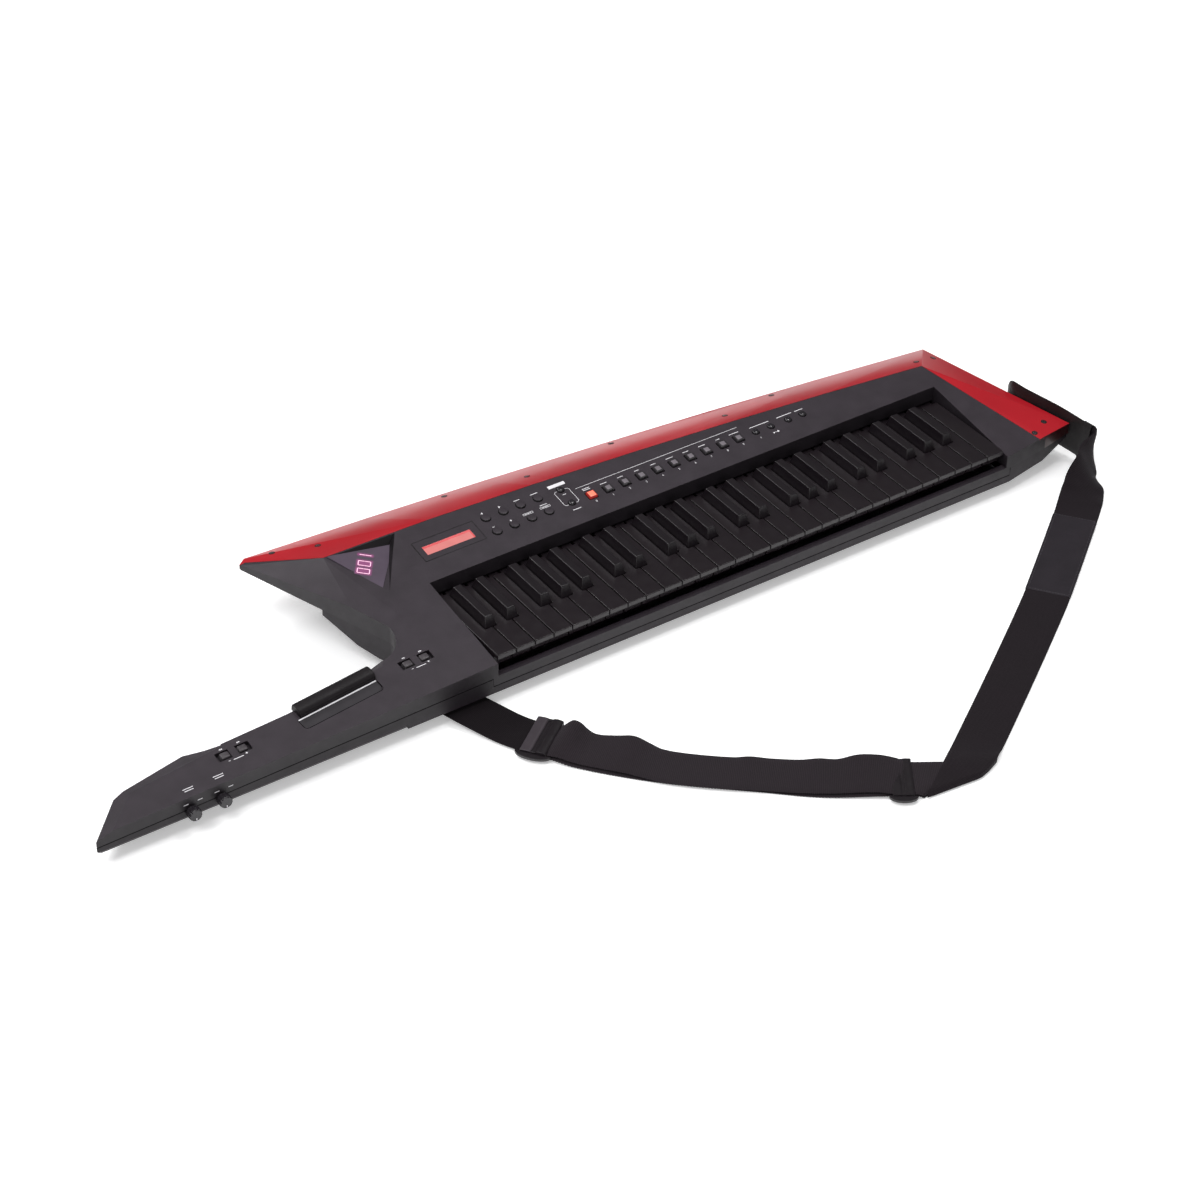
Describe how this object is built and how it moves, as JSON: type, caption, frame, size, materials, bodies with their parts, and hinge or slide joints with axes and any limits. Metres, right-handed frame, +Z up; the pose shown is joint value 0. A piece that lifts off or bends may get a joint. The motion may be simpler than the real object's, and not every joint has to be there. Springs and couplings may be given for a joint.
{
  "type": "keytar",
  "caption": "Shoulder keyboard with a playing neck, full-size keys, panel controls, an edge blade and a webbing strap, lying on its flat belly.",
  "frame": {"origin": "middle of the flat belly face of the lower casing that the part rests on", "axes": "+X along the keys from low to high, +Y away from the player, +Z up out of the key tops"},
  "size_m": [1.2706, 0.6672, 0.0846],
  "materials": {
    "casing": "fine moulded grain, semi-matte",
    "edge": "red gloss with a faint metallic depth",
    "keys": "black, satin tops",
    "sharps": "black, slightly shinier than the naturals",
    "controls": "satin black",
    "display": "lit red character display",
    "lens": "smoked window",
    "ribbon": "matt touch strip",
    "metal": "plain",
    "board": "coated circuit board",
    "pin": "polished",
    "webbing": "black woven webbing",
    "tab": "black grained leather"
  },
  "bodies": {
    "root": {"upper_casing": "casing", "lower_casing": "casing", "edge_blade": "edge", "key_frame": "metal", "main_board": "board", "character_display": "display", "digit_display_lens": "lens", "touch_ribbon": "ribbon", "socket_panel": "controls", "body_strap_pin": "pin", "neck_strap_pin": "pin", "strap_tab": "tab", "neck_webbing": "webbing", "middle_webbing": "webbing", "body_webbing": "webbing", "neck_slider": "controls", "body_slider": "controls"},
    "modulation_bar": {"modulation_bar": "controls"},
    "volume_knob": {"volume_knob": "controls"},
    "control_knob": {"control_knob": "controls"},
    "octave_rocker": {"octave_rocker": "controls"},
    "program_rocker": {"program_rocker": "controls"},
    "round_buttons": {"round_buttons": "controls"},
    "select_buttons": {"select_buttons": "controls"},
    "tone_pads": {"tone_pads": "controls"},
    "function_buttons": {"function_buttons": "controls"},
    "battery_cover": {"battery_cover": "casing"},
    "natural_key_01": {"natural_key_01": "keys"},
    "natural_key_02": {"natural_key_02": "keys"},
    "natural_key_03": {"natural_key_03": "keys"},
    "natural_key_04": {"natural_key_04": "keys"},
    "natural_key_05": {"natural_key_05": "keys"},
    "natural_key_06": {"natural_key_06": "keys"},
    "natural_key_07": {"natural_key_07": "keys"},
    "natural_key_08": {"natural_key_08": "keys"},
    "natural_key_09": {"natural_key_09": "keys"},
    "natural_key_10": {"natural_key_10": "keys"},
    "natural_key_11": {"natural_key_11": "keys"},
    "natural_key_12": {"natural_key_12": "keys"},
    "natural_key_13": {"natural_key_13": "keys"},
    "natural_key_14": {"natural_key_14": "keys"},
    "natural_key_15": {"natural_key_15": "keys"},
    "natural_key_16": {"natural_key_16": "keys"},
    "natural_key_17": {"natural_key_17": "keys"},
    "natural_key_18": {"natural_key_18": "keys"},
    "natural_key_19": {"natural_key_19": "keys"},
    "natural_key_20": {"natural_key_20": "keys"},
    "natural_key_21": {"natural_key_21": "keys"},
    "natural_key_22": {"natural_key_22": "keys"},
    "natural_key_23": {"natural_key_23": "keys"},
    "natural_key_24": {"natural_key_24": "keys"},
    "natural_key_25": {"natural_key_25": "keys"},
    "natural_key_26": {"natural_key_26": "keys"},
    "natural_key_27": {"natural_key_27": "keys"},
    "natural_key_28": {"natural_key_28": "keys"},
    "natural_key_29": {"natural_key_29": "keys"},
    "sharp_keys_1": {"sharp_keys_1": "sharps"},
    "sharp_keys_2": {"sharp_keys_2": "sharps"},
    "sharp_keys_3": {"sharp_keys_3": "sharps"},
    "sharp_keys_4": {"sharp_keys_4": "sharps"}
  },
  "joints": [
    {"name": "modulation_bar_turn", "type": "hinge", "parent": "root", "child": "modulation_bar", "pos_m": [-0.51017, -0.05844, 0.04989], "axis": [-0.9955, -0.0861, -0.0402], "range_deg": [0, 7.5], "stiffness_Nm_per_rad": 0.6, "springref_deg": -5.73},
    {"name": "volume_knob_turn", "type": "hinge", "parent": "root", "child": "volume_knob", "pos_m": [-0.70275, -0.1015, 0.0243], "axis": [0, -1, 0], "range_deg": [-150, 150]},
    {"name": "control_knob_turn", "type": "hinge", "parent": "root", "child": "control_knob", "pos_m": [-0.66875, -0.1015, 0.02493], "axis": [0, -1, 0], "range_deg": [-150, 150]},
    {"name": "octave_rocker_turn", "type": "hinge", "parent": "root", "child": "octave_rocker", "pos_m": [-0.41382, -0.05395, 0.05258], "axis": [-0.0041, 0.9882, 0.1531], "range_deg": [-5, 5], "stiffness_Nm_per_rad": 0.15},
    {"name": "program_rocker_turn", "type": "hinge", "parent": "root", "child": "program_rocker", "pos_m": [-0.63703, -0.06995, 0.04407], "axis": [-0.0041, 0.9882, 0.1531], "range_deg": [-5, 5], "stiffness_Nm_per_rad": 0.15},
    {"name": "round_buttons_press", "type": "slide", "parent": "root", "child": "round_buttons", "axis": [0, 0.1532, -0.9882], "range_m": [0, 0.001], "stiffness_N_per_m": 900, "springref_m": -0.0006},
    {"name": "select_buttons_press", "type": "slide", "parent": "root", "child": "select_buttons", "axis": [0, 0.1532, -0.9882], "range_m": [0, 0.001], "stiffness_N_per_m": 900, "springref_m": -0.0006},
    {"name": "tone_pads_press", "type": "slide", "parent": "root", "child": "tone_pads", "axis": [0, 0.1532, -0.9882], "range_m": [0, 0.001], "stiffness_N_per_m": 900, "springref_m": -0.0006},
    {"name": "function_buttons_press", "type": "slide", "parent": "root", "child": "function_buttons", "axis": [0, 0.1532, -0.9882], "range_m": [0, 0.001], "stiffness_N_per_m": 900, "springref_m": -0.0006},
    {"name": "battery_cover_turn", "type": "hinge", "parent": "root", "child": "battery_cover", "pos_m": [-0.12, 0.031, 0.0006], "axis": [1, 0, 0], "range_deg": [0, 90]},
    {"name": "natural_key_01_turn", "type": "hinge", "parent": "root", "child": "natural_key_01", "pos_m": [-0.329, 0.0515, 0.039], "axis": [1, 0, 0], "range_deg": [0, 3.87], "stiffness_Nm_per_rad": 0.8, "springref_deg": -5.73},
    {"name": "natural_key_02_turn", "type": "hinge", "parent": "root", "child": "natural_key_02", "pos_m": [-0.3055, 0.0515, 0.039], "axis": [1, 0, 0], "range_deg": [0, 3.87], "stiffness_Nm_per_rad": 0.8, "springref_deg": -5.73},
    {"name": "natural_key_03_turn", "type": "hinge", "parent": "root", "child": "natural_key_03", "pos_m": [-0.282, 0.0515, 0.039], "axis": [1, 0, 0], "range_deg": [0, 3.87], "stiffness_Nm_per_rad": 0.8, "springref_deg": -5.73},
    {"name": "natural_key_04_turn", "type": "hinge", "parent": "root", "child": "natural_key_04", "pos_m": [-0.2585, 0.0515, 0.039], "axis": [1, 0, 0], "range_deg": [0, 3.87], "stiffness_Nm_per_rad": 0.8, "springref_deg": -5.73},
    {"name": "natural_key_05_turn", "type": "hinge", "parent": "root", "child": "natural_key_05", "pos_m": [-0.235, 0.0515, 0.039], "axis": [1, 0, 0], "range_deg": [0, 3.87], "stiffness_Nm_per_rad": 0.8, "springref_deg": -5.73},
    {"name": "natural_key_06_turn", "type": "hinge", "parent": "root", "child": "natural_key_06", "pos_m": [-0.2115, 0.0515, 0.039], "axis": [1, 0, 0], "range_deg": [0, 3.87], "stiffness_Nm_per_rad": 0.8, "springref_deg": -5.73},
    {"name": "natural_key_07_turn", "type": "hinge", "parent": "root", "child": "natural_key_07", "pos_m": [-0.188, 0.0515, 0.039], "axis": [1, 0, 0], "range_deg": [0, 3.87], "stiffness_Nm_per_rad": 0.8, "springref_deg": -5.73},
    {"name": "natural_key_08_turn", "type": "hinge", "parent": "root", "child": "natural_key_08", "pos_m": [-0.1645, 0.0515, 0.039], "axis": [1, 0, 0], "range_deg": [0, 3.87], "stiffness_Nm_per_rad": 0.8, "springref_deg": -5.73},
    {"name": "natural_key_09_turn", "type": "hinge", "parent": "root", "child": "natural_key_09", "pos_m": [-0.141, 0.0515, 0.039], "axis": [1, 0, 0], "range_deg": [0, 3.87], "stiffness_Nm_per_rad": 0.8, "springref_deg": -5.73},
    {"name": "natural_key_10_turn", "type": "hinge", "parent": "root", "child": "natural_key_10", "pos_m": [-0.1175, 0.0515, 0.039], "axis": [1, 0, 0], "range_deg": [0, 3.87], "stiffness_Nm_per_rad": 0.8, "springref_deg": -5.73},
    {"name": "natural_key_11_turn", "type": "hinge", "parent": "root", "child": "natural_key_11", "pos_m": [-0.094, 0.0515, 0.039], "axis": [1, 0, 0], "range_deg": [0, 3.87], "stiffness_Nm_per_rad": 0.8, "springref_deg": -5.73},
    {"name": "natural_key_12_turn", "type": "hinge", "parent": "root", "child": "natural_key_12", "pos_m": [-0.0705, 0.0515, 0.039], "axis": [1, 0, 0], "range_deg": [0, 3.87], "stiffness_Nm_per_rad": 0.8, "springref_deg": -5.73},
    {"name": "natural_key_13_turn", "type": "hinge", "parent": "root", "child": "natural_key_13", "pos_m": [-0.047, 0.0515, 0.039], "axis": [1, 0, 0], "range_deg": [0, 3.87], "stiffness_Nm_per_rad": 0.8, "springref_deg": -5.73},
    {"name": "natural_key_14_turn", "type": "hinge", "parent": "root", "child": "natural_key_14", "pos_m": [-0.0235, 0.0515, 0.039], "axis": [1, 0, 0], "range_deg": [0, 3.87], "stiffness_Nm_per_rad": 0.8, "springref_deg": -5.73},
    {"name": "natural_key_15_turn", "type": "hinge", "parent": "root", "child": "natural_key_15", "pos_m": [0, 0.0515, 0.039], "axis": [1, 0, 0], "range_deg": [0, 3.87], "stiffness_Nm_per_rad": 0.8, "springref_deg": -5.73},
    {"name": "natural_key_16_turn", "type": "hinge", "parent": "root", "child": "natural_key_16", "pos_m": [0.0235, 0.0515, 0.039], "axis": [1, 0, 0], "range_deg": [0, 3.87], "stiffness_Nm_per_rad": 0.8, "springref_deg": -5.73},
    {"name": "natural_key_17_turn", "type": "hinge", "parent": "root", "child": "natural_key_17", "pos_m": [0.047, 0.0515, 0.039], "axis": [1, 0, 0], "range_deg": [0, 3.87], "stiffness_Nm_per_rad": 0.8, "springref_deg": -5.73},
    {"name": "natural_key_18_turn", "type": "hinge", "parent": "root", "child": "natural_key_18", "pos_m": [0.0705, 0.0515, 0.039], "axis": [1, 0, 0], "range_deg": [0, 3.87], "stiffness_Nm_per_rad": 0.8, "springref_deg": -5.73},
    {"name": "natural_key_19_turn", "type": "hinge", "parent": "root", "child": "natural_key_19", "pos_m": [0.094, 0.0515, 0.039], "axis": [1, 0, 0], "range_deg": [0, 3.87], "stiffness_Nm_per_rad": 0.8, "springref_deg": -5.73},
    {"name": "natural_key_20_turn", "type": "hinge", "parent": "root", "child": "natural_key_20", "pos_m": [0.1175, 0.0515, 0.039], "axis": [1, 0, 0], "range_deg": [0, 3.87], "stiffness_Nm_per_rad": 0.8, "springref_deg": -5.73},
    {"name": "natural_key_21_turn", "type": "hinge", "parent": "root", "child": "natural_key_21", "pos_m": [0.141, 0.0515, 0.039], "axis": [1, 0, 0], "range_deg": [0, 3.87], "stiffness_Nm_per_rad": 0.8, "springref_deg": -5.73},
    {"name": "natural_key_22_turn", "type": "hinge", "parent": "root", "child": "natural_key_22", "pos_m": [0.1645, 0.0515, 0.039], "axis": [1, 0, 0], "range_deg": [0, 3.87], "stiffness_Nm_per_rad": 0.8, "springref_deg": -5.73},
    {"name": "natural_key_23_turn", "type": "hinge", "parent": "root", "child": "natural_key_23", "pos_m": [0.188, 0.0515, 0.039], "axis": [1, 0, 0], "range_deg": [0, 3.87], "stiffness_Nm_per_rad": 0.8, "springref_deg": -5.73},
    {"name": "natural_key_24_turn", "type": "hinge", "parent": "root", "child": "natural_key_24", "pos_m": [0.2115, 0.0515, 0.039], "axis": [1, 0, 0], "range_deg": [0, 3.87], "stiffness_Nm_per_rad": 0.8, "springref_deg": -5.73},
    {"name": "natural_key_25_turn", "type": "hinge", "parent": "root", "child": "natural_key_25", "pos_m": [0.235, 0.0515, 0.039], "axis": [1, 0, 0], "range_deg": [0, 3.87], "stiffness_Nm_per_rad": 0.8, "springref_deg": -5.73},
    {"name": "natural_key_26_turn", "type": "hinge", "parent": "root", "child": "natural_key_26", "pos_m": [0.2585, 0.0515, 0.039], "axis": [1, 0, 0], "range_deg": [0, 3.87], "stiffness_Nm_per_rad": 0.8, "springref_deg": -5.73},
    {"name": "natural_key_27_turn", "type": "hinge", "parent": "root", "child": "natural_key_27", "pos_m": [0.282, 0.0515, 0.039], "axis": [1, 0, 0], "range_deg": [0, 3.87], "stiffness_Nm_per_rad": 0.8, "springref_deg": -5.73},
    {"name": "natural_key_28_turn", "type": "hinge", "parent": "root", "child": "natural_key_28", "pos_m": [0.3055, 0.0515, 0.039], "axis": [1, 0, 0], "range_deg": [0, 3.87], "stiffness_Nm_per_rad": 0.8, "springref_deg": -5.73},
    {"name": "natural_key_29_turn", "type": "hinge", "parent": "root", "child": "natural_key_29", "pos_m": [0.329, 0.0515, 0.039], "axis": [1, 0, 0], "range_deg": [0, 3.87], "stiffness_Nm_per_rad": 0.8, "springref_deg": -5.73},
    {"name": "sharp_keys_1_turn", "type": "hinge", "parent": "root", "child": "sharp_keys_1", "pos_m": [-0.2585, 0.0515, 0.039], "axis": [1, 0, 0], "range_deg": [0, 3.87], "stiffness_Nm_per_rad": 3, "springref_deg": -5.73},
    {"name": "sharp_keys_2_turn", "type": "hinge", "parent": "root", "child": "sharp_keys_2", "pos_m": [-0.094, 0.0515, 0.039], "axis": [1, 0, 0], "range_deg": [0, 3.87], "stiffness_Nm_per_rad": 3, "springref_deg": -5.73},
    {"name": "sharp_keys_3_turn", "type": "hinge", "parent": "root", "child": "sharp_keys_3", "pos_m": [0.0705, 0.0515, 0.039], "axis": [1, 0, 0], "range_deg": [0, 3.87], "stiffness_Nm_per_rad": 3, "springref_deg": -5.73},
    {"name": "sharp_keys_4_turn", "type": "hinge", "parent": "root", "child": "sharp_keys_4", "pos_m": [0.235, 0.0515, 0.039], "axis": [1, 0, 0], "range_deg": [0, 3.87], "stiffness_Nm_per_rad": 3, "springref_deg": -5.73}
  ]
}
